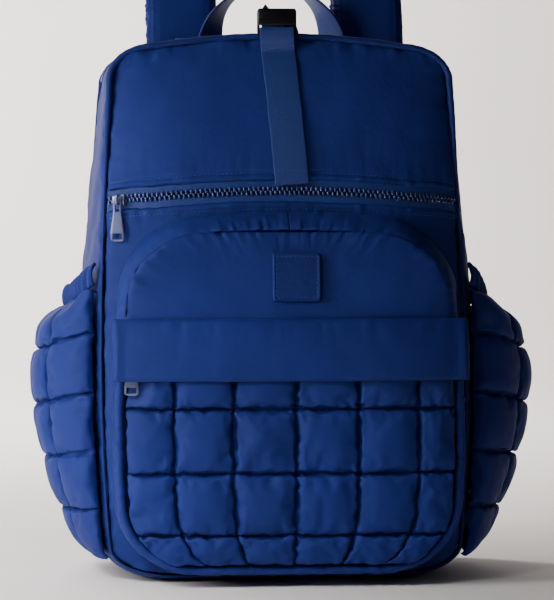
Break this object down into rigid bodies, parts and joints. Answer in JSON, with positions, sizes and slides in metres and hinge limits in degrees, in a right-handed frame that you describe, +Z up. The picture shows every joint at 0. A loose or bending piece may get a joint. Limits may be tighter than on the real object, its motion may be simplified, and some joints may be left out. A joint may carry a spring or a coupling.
{
  "type": "quilted puffer backpack",
  "caption": "Padded nylon backpack with a quilted front pocket, gathered quilted side pockets, zips with hanging pullers, haul handle and padded shoulder straps.",
  "frame": {"origin": "middle of the flat base, on the floor", "axes": "+Z up, the front pocket looks along -Y, the straps are on the +Y side"},
  "size_m": [0.4101, 0.2594, 0.4902],
  "materials": {
    "nylon_shell": "matte",
    "nylon_webbing": "matte",
    "zip_teeth": "gloss",
    "painted_metal": "satin",
    "black_plastic": "gloss"
  },
  "bodies": {
    "bag": {"front_panel_lower": "nylon_shell", "front_panel_upper": "nylon_shell", "gusset_base": "nylon_shell", "gusset_right": "nylon_shell", "gusset_left": "nylon_shell", "gusset_top_front": "nylon_shell", "gusset_top_back": "nylon_shell", "back_panel": "nylon_shell", "front_piping": "nylon_shell", "back_piping": "nylon_shell", "pocket_wall_right": "nylon_shell", "pocket_wall_left": "nylon_shell", "pocket_face_upper": "nylon_shell", "pocket_quilt": "nylon_shell", "pocket_border": "nylon_shell", "pocket_flap": "nylon_shell", "label_patch": "nylon_shell", "side_pocket_left": "nylon_shell", "side_pocket_right": "nylon_shell", "side_pocket_hem_left": "nylon_shell", "side_pocket_hem_right": "nylon_shell", "shoulder_strap_left": "nylon_shell", "shoulder_strap_right": "nylon_shell", "front_zip_tape_upper": "nylon_webbing", "front_zip_tape_lower": "nylon_webbing", "strap_tongue_left": "nylon_webbing", "strap_tongue_right": "nylon_webbing", "lower_webbing_left": "nylon_webbing", "lower_webbing_right": "nylon_webbing", "haul_handle": "nylon_webbing", "webbing_tail": "nylon_webbing", "anchor_webbing": "nylon_webbing", "front_zip_chain": "zip_teeth", "main_zip_chain": "zip_teeth", "pocket_zip_chain": "zip_teeth", "front_zip_slider": "painted_metal", "pocket_zip_slider": "painted_metal", "main_zip_slider_left": "painted_metal", "main_zip_slider_right": "painted_metal", "strap_adjuster_left": "black_plastic", "strap_adjuster_right": "black_plastic", "top_buckle": "black_plastic"},
    "front_puller": {"front_zip_puller": "painted_metal"},
    "pocket_puller": {"pocket_zip_puller": "painted_metal"}
  },
  "joints": [
    {"name": "front_puller_swing", "type": "hinge", "parent": "bag", "child": "front_puller", "pos_m": [-0.13499, -0.07354, 0.30585], "axis": [-0.9245, 0.3812, 0], "range_deg": [0, 150]},
    {"name": "pocket_puller_swing", "type": "hinge", "parent": "bag", "child": "pocket_puller", "pos_m": [-0.12548, -0.11736, 0.186], "axis": [-0.9849, 0.1731, 0], "range_deg": [0, 10]}
  ]
}
